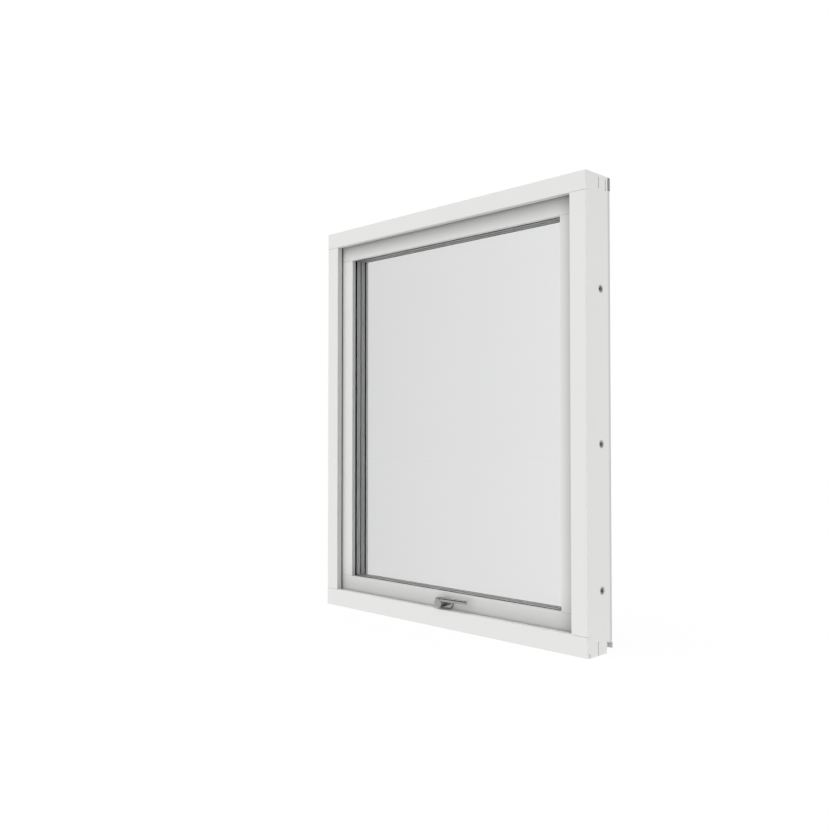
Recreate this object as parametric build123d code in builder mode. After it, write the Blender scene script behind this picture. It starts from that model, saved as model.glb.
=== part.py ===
"""Pivot window: a painted timber frame and sash with aluminium cladding outside.

Seen from the room, X runs to the right, Y runs outdoors and Z runs up.
The origin is on the underside of the sill, at mid width and mid depth of the timber frame.
All sizes are in millimetres, and a depth is counted from the room side of the frame.
"""

import os

from build123d import *

# Timber frame
WINDOW_WIDTH = 980.0
WINDOW_HEIGHT = 1180.0
FRAME_DEPTH = 96.0
FRAME_FACE = 48.0
SILL_FACE = 51.0
LIP_DEPTH = 17.0
LIP_HEIGHT = 12.0
SILL_DEPTH = 82.0
SILL_FALL = 12.0
KERF_DEPTH = 9.0
KERF_WIDTH = 4.0
KERF_HEIGHT = 10.0
ARRIS_RADIUS = 2.0
END_RADIUS = 1.0

# Corner joints of the frame
TENON_LENGTH = 30.0
HEAD_TENON_FRONT = 55.0
HEAD_TENON_REAR = 88.0
HEAD_TENON_HEIGHT = 28.0
SILL_TENON_FRONT = 44.0
TENON_GAP = 2.6
TENON_END_GAP = 0.4
JOINT_GAP = 0.5
JOINT_GAP_DEPTH = 4.0

# Fixing sleeves through the jambs
SLEEVE_DEPTH = 63.0
SLEEVE_LOW = 155.0
SLEEVE_MIDDLE = 513.0
SLEEVE_DROP = 284.0
SLEEVE_DIAMETER = 20.0
SLEEVE_BORE = 8.0
SLEEVE_FIT = 0.1

# Sash
SASH_CLEARANCE = 5.0
SASH_WIDTH = 52.0
SASH_THICKNESS = 62.0
SEAL_THICKNESS = 5.5
SEAL_WIDTH = 5.0
SEAL_SET_BACK = 1.5
REBATE_DEPTH = 12.5

# Triple glazing
GLASS_THICKNESS = 4.0
SPACER_THICKNESS = 16.0
GLASS_COVER = 13.0
GLASS_PLAY = 2.0
SPACER_WIDTH = 11.0
BED_THICKNESS = 2.5
BED_WIDTH = 6.0
BED_SET_BACK = 0.6

# Aluminium cladding
SHEET = 2.0
CLADDING_REACH = 12.0
CLADDING_RADIUS = 4.0
SILL_SHEET_START = 40.0
SILL_NOSE_DROP = 15.0
SILL_HOOK_DROP = 13.0
CLADDING_PLAY = 0.3
SASH_CLADDING_REACH = 11.0
SASH_CLADDING_SET_BACK = 3.5
SASH_CLADDING_RADIUS = 1.5

# Pivot arms in the gaps beside the sash
ARM_LENGTH = 430.0
ARM_WIDTH = 16.0
ARM_THICKNESS = 4.4
ARM_DEPTH = 36.0
ARM_DROP = 60.0

# Handle on the bottom rail
HANDLE_RISE = 18.2
ROSE_WIDTH = 68.0
ROSE_HEIGHT = 25.0
ROSE_DROP = 2.7
ROSE_THICKNESS = 5.5
ROSE_RADIUS = 12.0
ROSE_EDGE = 1.5
HUB_DIAMETER = 26.0
HUB_LENGTH = 23.7
HUB_EDGE = 2.0
LEVER_LENGTH = 102.0
LEVER_ROOT_DROP = 0.3
LEVER_ROOT_HEIGHT = 9.0
LEVER_TIP_RISE = 2.2
LEVER_TIP_HEIGHT = 7.4
LEVER_TOP_SLOPE = 2.8
LEVER_THICKNESS = 11.0
LEVER_SET_BACK = 1.0
LEVER_EDGE = 2.6
SPINDLE_DIAMETER = 8.0
SPINDLE_LENGTH = 24.0
SPINDLE_FIT = 0.06
SPINDLE_ROOM = 0.5
HANDLE_GAP = 0.3

# Sizes that follow from the ones above
HALF_WIDTH = WINDOW_WIDTH / 2
FRAME_BODY = FRAME_FACE - LIP_HEIGHT
SILL_BODY = SILL_FACE - LIP_HEIGHT
HEAD_UNDERSIDE = WINDOW_HEIGHT - FRAME_BODY
SLEEVE_HEIGHTS = (SLEEVE_LOW, SLEEVE_MIDDLE, WINDOW_HEIGHT - SLEEVE_DROP)
SASH_FACE = LIP_DEPTH + SEAL_THICKNESS
SASH_REAR = SASH_FACE + SASH_THICKNESS
SASH_HALF_WIDTH = HALF_WIDTH - FRAME_BODY - SASH_CLEARANCE
SASH_BOTTOM = SILL_BODY + SASH_CLEARANCE
SASH_TOP = HEAD_UNDERSIDE - SASH_CLEARANCE
GLASS_EDGE = SASH_WIDTH - GLASS_COVER
REBATE_EDGE = GLASS_EDGE - GLASS_PLAY
BED_FRONT = SASH_FACE + REBATE_DEPTH
GLASS_FRONT = BED_FRONT + BED_THICKNESS
GLASS_STEP = GLASS_THICKNESS + SPACER_THICKNESS
GLASS_REAR = GLASS_FRONT + 2 * GLASS_STEP + GLASS_THICKNESS
HANDLE_HEIGHT = SILL_FACE + HANDLE_RISE
ROSE_FRONT = SASH_FACE - ROSE_THICKNESS
HUB_REAR = ROSE_FRONT - HANDLE_GAP
HUB_FRONT = HUB_REAR - HUB_LENGTH
CLADDING_FACE = FRAME_DEPTH + CLADDING_REACH


def depth(distance):
    """Y of a place that lies this far behind the room side of the frame."""
    return distance - FRAME_DEPTH / 2


def facing(distance):
    """Plane at this depth that looks into the room, with X right and Z up."""
    return Plane.XZ.offset(-depth(distance))


def sill_top(distance):
    """Height of the sloping top of the sill, or of its line carried on, at this depth."""
    return SILL_BODY - SILL_FALL * (distance - LIP_DEPTH) / (SILL_DEPTH - LIP_DEPTH)


def save(part, name):
    """Label a finished piece and write its file."""
    part.label = name
    export_step(part, f"parts/{name}.step")


os.makedirs("parts", exist_ok=True)

# Sections of the head and the sill, each point a depth and a height
HEAD_SECTION = (
    (depth(0), WINDOW_HEIGHT),
    (depth(0), WINDOW_HEIGHT - FRAME_FACE),
    (depth(LIP_DEPTH), WINDOW_HEIGHT - FRAME_FACE),
    (depth(LIP_DEPTH), HEAD_UNDERSIDE),
    (depth(FRAME_DEPTH), HEAD_UNDERSIDE),
    (depth(FRAME_DEPTH), WINDOW_HEIGHT),
)
SILL_TOP_LINE = (
    (depth(0), 0),
    (depth(0), SILL_FACE),
    (depth(LIP_DEPTH), SILL_FACE),
    (depth(LIP_DEPTH), SILL_BODY),
    (depth(SILL_DEPTH), sill_top(SILL_DEPTH)),
)
SILL_SECTION = (*SILL_TOP_LINE, (depth(SILL_DEPTH), 0))
# What the foot of a jamb is cut to: the sill, and behind it the sheet on the sill
JAMB_FOOT = (
    *SILL_TOP_LINE,
    (depth(SILL_DEPTH), sill_top(SILL_DEPTH) + SHEET),
    (depth(FRAME_DEPTH), sill_top(FRAME_DEPTH) + SHEET),
    (depth(FRAME_DEPTH), 0),
)

# Head
with BuildPart() as frame_head:
    with BuildSketch(Plane.YZ) as head_section:
        with BuildLine():
            Polyline(*HEAD_SECTION, close=True)
        make_face()
        fillet(head_section.vertices().group_by(Axis.X)[0], ARRIS_RADIUS)
    extrude(amount=HALF_WIDTH, both=True)
    fillet(frame_head.edges().filter_by(Axis.Z).group_by(Axis.Y)[0], END_RADIUS)
    with BuildSketch(Plane.XY.offset(HEAD_UNDERSIDE)):
        with Locations((0, depth((HEAD_TENON_FRONT + HEAD_TENON_REAR) / 2))):
            with GridLocations(WINDOW_WIDTH - TENON_LENGTH, 0, 2, 1):
                Rectangle(TENON_LENGTH, HEAD_TENON_REAR - HEAD_TENON_FRONT)
    extrude(amount=HEAD_TENON_HEIGHT, mode=Mode.SUBTRACT)
save(frame_head.part, "frame_head")

# Sill, with a drip kerf under its room edge and open slots for the tenons
with BuildPart() as frame_sill:
    with BuildSketch(Plane.YZ) as sill_section:
        with BuildLine():
            Polyline(*SILL_SECTION, close=True)
        make_face()
        fillet(sill_section.vertices().group_by(Axis.X)[0], ARRIS_RADIUS)
        with Locations((depth(KERF_DEPTH), 0)):
            Rectangle(KERF_WIDTH, 2 * KERF_HEIGHT, mode=Mode.SUBTRACT)
    extrude(amount=HALF_WIDTH, both=True)
    fillet(frame_sill.edges().filter_by(Axis.Z).group_by(Axis.Y)[0], END_RADIUS)
    with BuildSketch():
        with Locations((0, depth((SILL_TENON_FRONT + SILL_DEPTH) / 2))):
            with GridLocations(WINDOW_WIDTH - TENON_LENGTH, 0, 2, 1):
                Rectangle(TENON_LENGTH, SILL_DEPTH - SILL_TENON_FRONT)
    extrude(amount=SILL_FACE, mode=Mode.SUBTRACT)
save(frame_sill.part, "frame_sill")


def jamb(side):
    """Upright of the frame, with its tenons and its holes for the fixing sleeves.

    A fine gap on the room side parts it from the head and from the sill.
    side is 1 for the right jamb and -1 for the left one.
    """
    outer = side * HALF_WIDTH
    tenon_length = TENON_LENGTH - TENON_END_GAP
    tenon_x = outer - side * tenon_length / 2
    with BuildPart() as upright:
        with BuildSketch() as section:
            with BuildLine():
                Polyline(
                    (outer, depth(0)),
                    (outer - side * FRAME_FACE, depth(0)),
                    (outer - side * FRAME_FACE, depth(LIP_DEPTH)),
                    (outer - side * FRAME_BODY, depth(LIP_DEPTH)),
                    (outer - side * FRAME_BODY, depth(FRAME_DEPTH)),
                    (outer, depth(FRAME_DEPTH)),
                    close=True,
                )
            make_face()
            fillet(section.vertices().group_by(Axis.Y)[0], ARRIS_RADIUS)
        extrude(amount=WINDOW_HEIGHT)
        with BuildSketch(Plane.YZ):
            with BuildLine():
                Polyline(*HEAD_SECTION, close=True)
            make_face()
            with BuildLine():
                Polyline(*JAMB_FOOT, close=True)
            make_face()
            with Locations((depth(0), WINDOW_HEIGHT - FRAME_FACE), (depth(0), SILL_FACE)):
                Rectangle(2 * JOINT_GAP_DEPTH, 2 * JOINT_GAP)
        extrude(amount=WINDOW_WIDTH, both=True, mode=Mode.SUBTRACT)
        with BuildSketch(Plane.XY.offset(HEAD_UNDERSIDE)):
            with Locations((tenon_x, depth((HEAD_TENON_FRONT + HEAD_TENON_REAR) / 2))):
                Rectangle(tenon_length, HEAD_TENON_REAR - HEAD_TENON_FRONT - 2 * TENON_GAP)
        extrude(amount=HEAD_TENON_HEIGHT)
        with BuildSketch():
            with Locations((tenon_x, depth((SILL_TENON_FRONT + TENON_GAP + SILL_DEPTH) / 2))):
                Rectangle(tenon_length, SILL_DEPTH - SILL_TENON_FRONT - TENON_GAP)
        extrude(amount=SILL_BODY)
        with BuildSketch(Plane.YZ.offset(outer)):
            with Locations(*[(depth(SLEEVE_DEPTH), height) for height in SLEEVE_HEIGHTS]):
                Circle(SLEEVE_DIAMETER / 2 + SLEEVE_FIT)
        extrude(amount=-side * FRAME_FACE, mode=Mode.SUBTRACT)
    return upright.part


def fixing_sleeves(side):
    """Three round sleeves that fill the holes in a jamb, each with a bore for its screw."""
    with BuildPart() as sleeves:
        with BuildSketch(Plane.YZ.offset(side * HALF_WIDTH)):
            with Locations(*[(depth(SLEEVE_DEPTH), height) for height in SLEEVE_HEIGHTS]):
                Circle(SLEEVE_DIAMETER / 2)
                Circle(SLEEVE_BORE / 2, mode=Mode.SUBTRACT)
        extrude(amount=-side * FRAME_BODY)
    return sleeves.part


def jamb_cladding(side):
    """Aluminium channel outside a jamb, open towards the timber."""
    outer = side * HALF_WIDTH
    inner = outer - side * FRAME_BODY
    foot = sill_top(FRAME_DEPTH) + SHEET + CLADDING_PLAY
    with BuildPart() as channel:
        with BuildSketch(Plane.XY.offset(foot)) as section:
            with BuildLine():
                Polyline(
                    (outer, depth(FRAME_DEPTH)),
                    (outer, depth(CLADDING_FACE)),
                    (inner, depth(CLADDING_FACE)),
                    (inner, depth(FRAME_DEPTH)),
                    (inner + side * SHEET, depth(FRAME_DEPTH)),
                    (inner + side * SHEET, depth(CLADDING_FACE - SHEET)),
                    (outer - side * SHEET, depth(CLADDING_FACE - SHEET)),
                    (outer - side * SHEET, depth(FRAME_DEPTH)),
                    close=True,
                )
            make_face()
            fillet(section.vertices().group_by(Axis.Y)[-2], CLADDING_RADIUS - SHEET)
            fillet(section.vertices().group_by(Axis.Y)[-1], CLADDING_RADIUS)
        extrude(amount=HEAD_UNDERSIDE - foot)
    return channel.part


def pivot_arm(side):
    """Flat arm with round ends on the inner side of a jamb, in the gap beside the sash."""
    with BuildPart() as arm:
        with BuildSketch(Plane.YZ.offset(side * (HALF_WIDTH - FRAME_BODY))):
            with Locations((depth(ARM_DEPTH), SASH_TOP - ARM_DROP - ARM_LENGTH / 2)):
                SlotOverall(ARM_LENGTH, ARM_WIDTH, rotation=90)
        extrude(amount=-side * ARM_THICKNESS)
    return arm.part


# Pieces that come in pairs, left and right of the window
for side, hand in ((-1, "left"), (1, "right")):
    save(jamb(side), f"frame_jamb_{hand}")
    save(fixing_sleeves(side), f"fixing_sleeves_{hand}")
    save(jamb_cladding(side), f"cladding_jamb_{hand}")
    save(pivot_arm(side), f"pivot_arm_{hand}")

# Head cladding: a channel with open ends, as deep as the jamb channels
with BuildPart() as cladding_head:
    with BuildSketch(Plane.YZ) as channel_section:
        with BuildLine():
            Polyline(
                (depth(FRAME_DEPTH), WINDOW_HEIGHT),
                (depth(CLADDING_FACE), WINDOW_HEIGHT),
                (depth(CLADDING_FACE), HEAD_UNDERSIDE),
                (depth(FRAME_DEPTH), HEAD_UNDERSIDE),
                (depth(FRAME_DEPTH), HEAD_UNDERSIDE + SHEET),
                (depth(CLADDING_FACE - SHEET), HEAD_UNDERSIDE + SHEET),
                (depth(CLADDING_FACE - SHEET), WINDOW_HEIGHT - SHEET),
                (depth(FRAME_DEPTH), WINDOW_HEIGHT - SHEET),
                close=True,
            )
        make_face()
        fillet(channel_section.vertices().group_by(Axis.X)[-2], CLADDING_RADIUS - SHEET)
        fillet(channel_section.vertices().group_by(Axis.X)[-1], CLADDING_RADIUS)
    extrude(amount=HALF_WIDTH, both=True)
save(cladding_head.part, "cladding_head")

# Sill cladding: a sheet on the slope, hooked behind the sill, with a nose that sheds water
NOSE_FOOT = sill_top(CLADDING_FACE) + SHEET - SILL_NOSE_DROP
HOOK_FOOT = sill_top(SILL_DEPTH) - SILL_HOOK_DROP
with BuildPart() as cladding_sill:
    with BuildSketch(Plane.YZ):
        with BuildLine():
            Polyline(
                (depth(SILL_SHEET_START), sill_top(SILL_SHEET_START)),
                (depth(SILL_SHEET_START), sill_top(SILL_SHEET_START) + SHEET),
                (depth(CLADDING_FACE), sill_top(CLADDING_FACE) + SHEET),
                (depth(CLADDING_FACE), NOSE_FOOT),
                (depth(CLADDING_FACE - SHEET), NOSE_FOOT),
                (depth(CLADDING_FACE - SHEET), sill_top(CLADDING_FACE - SHEET)),
                (depth(SILL_DEPTH + SHEET), sill_top(SILL_DEPTH + SHEET)),
                (depth(SILL_DEPTH + SHEET), HOOK_FOOT),
                (depth(SILL_DEPTH), HOOK_FOOT),
                (depth(SILL_DEPTH), sill_top(SILL_DEPTH)),
                close=True,
            )
        make_face()
    extrude(amount=HALF_WIDTH, both=True)
    with BuildSketch():
        with Locations((0, depth(SILL_DEPTH / 2))):
            with GridLocations(WINDOW_WIDTH - FRAME_BODY - CLADDING_PLAY, 0, 2, 1):
                Rectangle(FRAME_BODY + CLADDING_PLAY, SILL_DEPTH)
    extrude(amount=SILL_FACE, mode=Mode.SUBTRACT)
save(cladding_sill.part, "cladding_sill")


def sash_section(edge, inwards):
    """Section of a sash rail or stile, each point a place across the sash and a depth.

    edge is the outer edge of the piece, and inwards is 1 or -1, the way to the glass.
    """
    sight_line = edge + inwards * SASH_WIDTH
    rebate = edge + inwards * REBATE_EDGE
    return (
        (edge, depth(SASH_FACE)),
        (sight_line, depth(SASH_FACE)),
        (sight_line, depth(BED_FRONT)),
        (rebate, depth(BED_FRONT)),
        (rebate, depth(SASH_REAR)),
        (edge, depth(SASH_REAR)),
    )


TOP_RAIL_SECTION = [(place, height) for height, place in sash_section(SASH_TOP, -1)]
BOTTOM_RAIL_SECTION = [(place, height) for height, place in sash_section(SASH_BOTTOM, 1)]

# Top rail of the sash, as wide as the sash
with BuildPart() as sash_top_rail:
    with BuildSketch(Plane.YZ) as top_rail_section:
        with BuildLine():
            Polyline(*TOP_RAIL_SECTION, close=True)
        make_face()
        fillet(top_rail_section.vertices().group_by(Axis.X)[0], ARRIS_RADIUS)
    extrude(amount=SASH_HALF_WIDTH, both=True)
save(sash_top_rail.part, "sash_top_rail")

# Bottom rail of the sash, with the hole that the handle's spindle runs in
with BuildPart() as sash_bottom_rail:
    with BuildSketch(Plane.YZ) as bottom_rail_section:
        with BuildLine():
            Polyline(*BOTTOM_RAIL_SECTION, close=True)
        make_face()
        fillet(bottom_rail_section.vertices().group_by(Axis.X)[0], ARRIS_RADIUS)
    extrude(amount=SASH_HALF_WIDTH, both=True)
    with BuildSketch(facing(SASH_FACE)):
        with Locations((0, HANDLE_HEIGHT)):
            Circle(SPINDLE_DIAMETER / 2 + SPINDLE_ROOM)
    extrude(amount=-SPINDLE_LENGTH, mode=Mode.SUBTRACT)
save(sash_bottom_rail.part, "sash_bottom_rail")


def sash_stile(side):
    """Upright of the sash between its two rails, cut to fit their rebates."""
    with BuildPart() as stile:
        with BuildSketch(Plane.XY.offset(SASH_BOTTOM)) as section:
            with BuildLine():
                Polyline(*sash_section(side * SASH_HALF_WIDTH, -side), close=True)
            make_face()
            fillet(section.vertices().group_by(Axis.Y)[0], ARRIS_RADIUS)
        extrude(amount=SASH_TOP - SASH_BOTTOM)
        with BuildSketch(Plane.YZ):
            with BuildLine():
                Polyline(*TOP_RAIL_SECTION, close=True)
            make_face()
            with BuildLine():
                Polyline(*BOTTOM_RAIL_SECTION, close=True)
            make_face()
        extrude(amount=WINDOW_WIDTH, both=True, mode=Mode.SUBTRACT)
    return stile.part


for side, hand in ((-1, "left"), (1, "right")):
    save(sash_stile(side), f"sash_stile_{hand}")


def frame_corners(inset):
    """Corners of the sash outline moved in by inset, from bottom left, anticlockwise."""
    half = SASH_HALF_WIDTH - inset
    low = SASH_BOTTOM + inset
    high = SASH_TOP - inset
    return ((-half, low), (half, low), (half, high), (-half, high))


def ring(outer_inset, inner_inset, rear, thickness):
    """Closed strip all round the sash between two insets, ending at a rear depth."""
    with BuildPart() as strip:
        with BuildSketch(facing(rear)):
            with BuildLine():
                Polyline(*frame_corners(outer_inset), close=True)
            make_face()
            with BuildLine():
                Polyline(*frame_corners(inner_inset), close=True)
            make_face(mode=Mode.SUBTRACT)
        extrude(amount=thickness)
    return strip.part


def pane(rear):
    """Sheet of glass that ends at a rear depth."""
    with BuildPart() as sheet:
        with BuildSketch(facing(rear)):
            with BuildLine():
                Polyline(*frame_corners(GLASS_EDGE), close=True)
            make_face()
        extrude(amount=GLASS_THICKNESS)
    return sheet.part


# Seal between the lip of the frame and the sash, set a little behind the edge of the lip
SEAL_INNER = LIP_HEIGHT - SASH_CLEARANCE - SEAL_SET_BACK
save(ring(SEAL_INNER - SEAL_WIDTH, SEAL_INNER, SASH_FACE, SEAL_THICKNESS), "frame_seal")

# Glazing: three panes on two spacers, held between an inner and an outer bed
SPACER_OUTER = SASH_WIDTH - SPACER_WIDTH
BED_INNER = SASH_WIDTH - BED_SET_BACK
for order, name in enumerate(("inner", "middle", "outer")):
    save(pane(GLASS_FRONT + order * GLASS_STEP + GLASS_THICKNESS), f"glass_{name}")
for order, name in enumerate(("inner", "outer")):
    spacer_rear = GLASS_FRONT + (order + 1) * GLASS_STEP
    save(ring(SPACER_OUTER, SASH_WIDTH, spacer_rear, SPACER_THICKNESS), f"spacer_{name}")
save(ring(BED_INNER - BED_WIDTH, BED_INNER, GLASS_FRONT, BED_THICKNESS), "glazing_bed_inner")
save(ring(BED_INNER - BED_WIDTH, BED_INNER, SASH_REAR, SASH_REAR - GLASS_REAR), "glazing_bed_outer")


def sash_cladding(corner):
    """Aluminium channel outside one side of the sash, mitred, set back from the sight line.

    corner numbers the sides anticlockwise from the bottom one.
    """
    following = (corner + 1) % 4
    run = Axis.Z if corner % 2 else Axis.X
    with BuildPart() as channel:
        for inset, mode in ((0, Mode.ADD), (SHEET, Mode.SUBTRACT)):
            reach = SASH_CLADDING_REACH - inset
            outer = frame_corners(inset)
            inner = frame_corners(SASH_WIDTH - SASH_CLADDING_SET_BACK - inset)
            with BuildSketch(facing(SASH_REAR + reach)):
                with BuildLine():
                    Polyline(outer[corner], outer[following], inner[following], inner[corner], close=True)
                make_face()
            extrude(amount=reach, mode=mode)
        fillet(channel.edges().filter_by(run).group_by(Axis.Y)[-1], SASH_CLADDING_RADIUS)
    return channel.part


for corner, name in enumerate(("bottom", "right", "top", "left")):
    save(sash_cladding(corner), f"sash_cladding_{name}")

# Handle rose on the bottom rail
with BuildPart() as handle_rose:
    with BuildSketch(facing(SASH_FACE)):
        with Locations((0, HANDLE_HEIGHT - ROSE_DROP)):
            RectangleRounded(ROSE_WIDTH, ROSE_HEIGHT, ROSE_RADIUS)
    extrude(amount=ROSE_THICKNESS)
    fillet(handle_rose.faces().sort_by(Axis.Y)[0].edges(), ROSE_EDGE)
    with BuildSketch(facing(SASH_FACE)):
        with Locations((0, HANDLE_HEIGHT)):
            Circle(SPINDLE_DIAMETER / 2 + SPINDLE_FIT)
    extrude(amount=ROSE_THICKNESS, mode=Mode.SUBTRACT)
save(handle_rose.part, "handle_rose")

# Bar of the handle lever, which points right from the top of the hub, with a top that falls to the front
HUB_TOP = HANDLE_HEIGHT + HUB_DIAMETER / 2
ROOT_TOP = HUB_TOP - LEVER_ROOT_DROP
TIP_TOP = HUB_TOP + LEVER_TIP_RISE
BAR_FRONT = HUB_FRONT + LEVER_SET_BACK
BAR_REAR = BAR_FRONT + LEVER_THICKNESS
BAR_ENDS = ((0, ROOT_TOP, LEVER_ROOT_HEIGHT), (LEVER_LENGTH, TIP_TOP, LEVER_TIP_HEIGHT))
with BuildPart() as lever_bar:
    for reach, top, height in BAR_ENDS:
        with BuildSketch(Plane.YZ.offset(reach)):
            with BuildLine():
                Polyline(
                    (depth(BAR_FRONT), top - height),
                    (depth(BAR_REAR), top - height),
                    (depth(BAR_REAR), top + LEVER_TOP_SLOPE),
                    (depth(BAR_FRONT), top),
                    close=True,
                )
            make_face()
    loft()
    fillet(lever_bar.edges(), LEVER_EDGE)

# Handle lever: a round hub with its bar, on the spindle that turns in the rose
with BuildPart() as handle_lever:
    with BuildSketch(facing(HUB_REAR)):
        with Locations((0, HANDLE_HEIGHT)):
            Circle(HUB_DIAMETER / 2)
    extrude(amount=HUB_LENGTH)
    fillet(handle_lever.faces().sort_by(Axis.Y)[0].edges(), HUB_EDGE)
    with BuildSketch(facing(HUB_REAR)):
        with Locations((0, HANDLE_HEIGHT)):
            Circle(SPINDLE_DIAMETER / 2)
    extrude(amount=-(SPINDLE_LENGTH + HANDLE_GAP))
    add(lever_bar.part)
save(handle_lever.part, "handle_lever")
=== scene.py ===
"""Looks of the pivot window: its finishes, moulded seals, fixing sleeves, handle and studio.

Everything is in metres in the frame of the solids: X to the right as seen from the room,
Y outdoors, Z up, with the origin under the middle of the sill.
"""

from __future__ import annotations

import logging
import math
from dataclasses import dataclass
from enum import Enum
from typing import Any, Mapping, Optional, Sequence, Union

import bmesh
import bpy
import numpy as np
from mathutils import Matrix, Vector

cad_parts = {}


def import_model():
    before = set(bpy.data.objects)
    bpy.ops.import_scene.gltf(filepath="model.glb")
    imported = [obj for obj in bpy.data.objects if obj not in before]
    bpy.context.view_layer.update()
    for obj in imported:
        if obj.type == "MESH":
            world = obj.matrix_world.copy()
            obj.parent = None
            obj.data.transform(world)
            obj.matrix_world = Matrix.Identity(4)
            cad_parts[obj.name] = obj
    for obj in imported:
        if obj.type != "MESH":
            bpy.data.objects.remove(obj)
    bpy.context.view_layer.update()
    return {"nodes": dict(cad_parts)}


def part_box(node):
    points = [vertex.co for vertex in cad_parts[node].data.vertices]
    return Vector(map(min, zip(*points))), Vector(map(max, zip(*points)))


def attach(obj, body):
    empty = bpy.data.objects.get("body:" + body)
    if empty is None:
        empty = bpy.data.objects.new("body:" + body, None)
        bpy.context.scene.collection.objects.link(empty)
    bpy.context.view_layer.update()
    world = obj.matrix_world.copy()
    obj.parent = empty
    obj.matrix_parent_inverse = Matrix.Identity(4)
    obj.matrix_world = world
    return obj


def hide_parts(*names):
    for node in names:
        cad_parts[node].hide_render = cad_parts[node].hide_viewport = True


LOG = logging.getLogger("pivot_window")
MILLIMETRE = 0.001
MERGE_DISTANCE = 1e-7
CLOSED_COSINE = 1e-6
SIDEWAYS_NORMAL = 0.5
FULL_TURN = 2.0 * math.pi
QUARTER_TURN = math.pi / 2.0
SPINDLE_HEIGHT = 69.2 * MILLIMETRE
FIXED_BODY = "window"
HANDLE_BODY = "handle"

Colour = tuple[float, float, float]
Place = tuple[float, float, float]
Rgba = tuple[float, float, float, float]
Grid = np.ndarray
Nodes = Mapping[str, bpy.types.Object]

WHITE: Colour = (1.0, 1.0, 1.0)
BLACK: Colour = (0.0, 0.0, 0.0)


class Run(Enum):
    """Axis that a bar runs along, or that an edge is crossed on, as an index into X, Y, Z."""

    ALONG_X = 0
    ALONG_Z = 2


class Hand(Enum):
    """Side of the window, with the sign of X on that side."""

    LEFT = -1
    RIGHT = 1


# Shader graphs


class Wire:
    """A shader output that takes part in arithmetic: every operator adds one Math node."""

    def __init__(self, graph: "Graph", socket: bpy.types.NodeSocket) -> None:
        """Keep the graph that new nodes go to, and the output that this wire leaves."""
        self.graph = graph
        self.socket = socket

    def _math(self, operation: str, *terms: "Term") -> "Wire":
        """Add a Math node for one operation on the terms."""
        return self.graph.node("ShaderNodeMath", {"operation": operation}, dict(enumerate(terms)))

    def __add__(self, other: "Term") -> "Wire":
        """Sum."""
        return self._math("ADD", self, other)

    def __radd__(self, other: "Term") -> "Wire":
        """Sum with a number on the left."""
        return self._math("ADD", other, self)

    def __sub__(self, other: "Term") -> "Wire":
        """Difference."""
        return self._math("SUBTRACT", self, other)

    def __rsub__(self, other: "Term") -> "Wire":
        """Difference from a number on the left."""
        return self._math("SUBTRACT", other, self)

    def __mul__(self, other: "Term") -> "Wire":
        """Product."""
        return self._math("MULTIPLY", self, other)

    def __rmul__(self, other: "Term") -> "Wire":
        """Product with a number on the left."""
        return self._math("MULTIPLY", other, self)

    def __truediv__(self, other: "Term") -> "Wire":
        """Quotient."""
        return self._math("DIVIDE", self, other)

    def __abs__(self) -> "Wire":
        """Size without sign."""
        return self._math("ABSOLUTE", self)

    def above(self, limit: "Term") -> "Wire":
        """One where the value is over the limit, and nought elsewhere."""
        return self._math("GREATER_THAN", self, limit)

    def below(self, limit: "Term") -> "Wire":
        """One where the value is under the limit, and nought elsewhere."""
        return self._math("LESS_THAN", self, limit)

    def largest(self, other: "Term") -> "Wire":
        """The larger of two values."""
        return self._math("MAXIMUM", self, other)

    def smallest(self, other: "Term") -> "Wire":
        """The smaller of two values."""
        return self._math("MINIMUM", self, other)

    def folded(self, step: float) -> "Wire":
        """Distance to the nearest multiple of a step."""
        return self._math("PINGPONG", self, step / 2)

    def exponent(self) -> "Wire":
        """Power of e."""
        return self._math("EXPONENT", self)

    def root(self) -> "Wire":
        """Square root."""
        return self._math("SQRT", self)

    def beside(self, out: Union[int, str]) -> "Wire":
        """Wire from another output of the same node."""
        return Wire(self.graph, self.socket.node.outputs[out])


Term = Union[Wire, float, Sequence[float]]


@dataclass(frozen=True)
class Lumps:
    """Noise pattern: lumps to the unit, octaves of detail and the strength of the finer ones."""

    scale: float
    detail: float = 2.0
    roughness: float = 0.5


@dataclass(frozen=True)
class Relief:
    """Depth in metres that a height of 1 stands for, and the share of it that shows."""

    depth: float
    strength: float


@dataclass(frozen=True)
class Shades:
    """Darkest and palest shade of a colour, as factors of it."""

    dark: float
    pale: float


def opaque(colour: Colour) -> Rgba:
    """Colour with full alpha, as a socket takes it."""
    return (*colour, 1.0)


def shaded(colour: Colour, factor: float) -> Rgba:
    """Colour times a factor, with full alpha."""
    return opaque(tuple(factor * part for part in colour))


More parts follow.
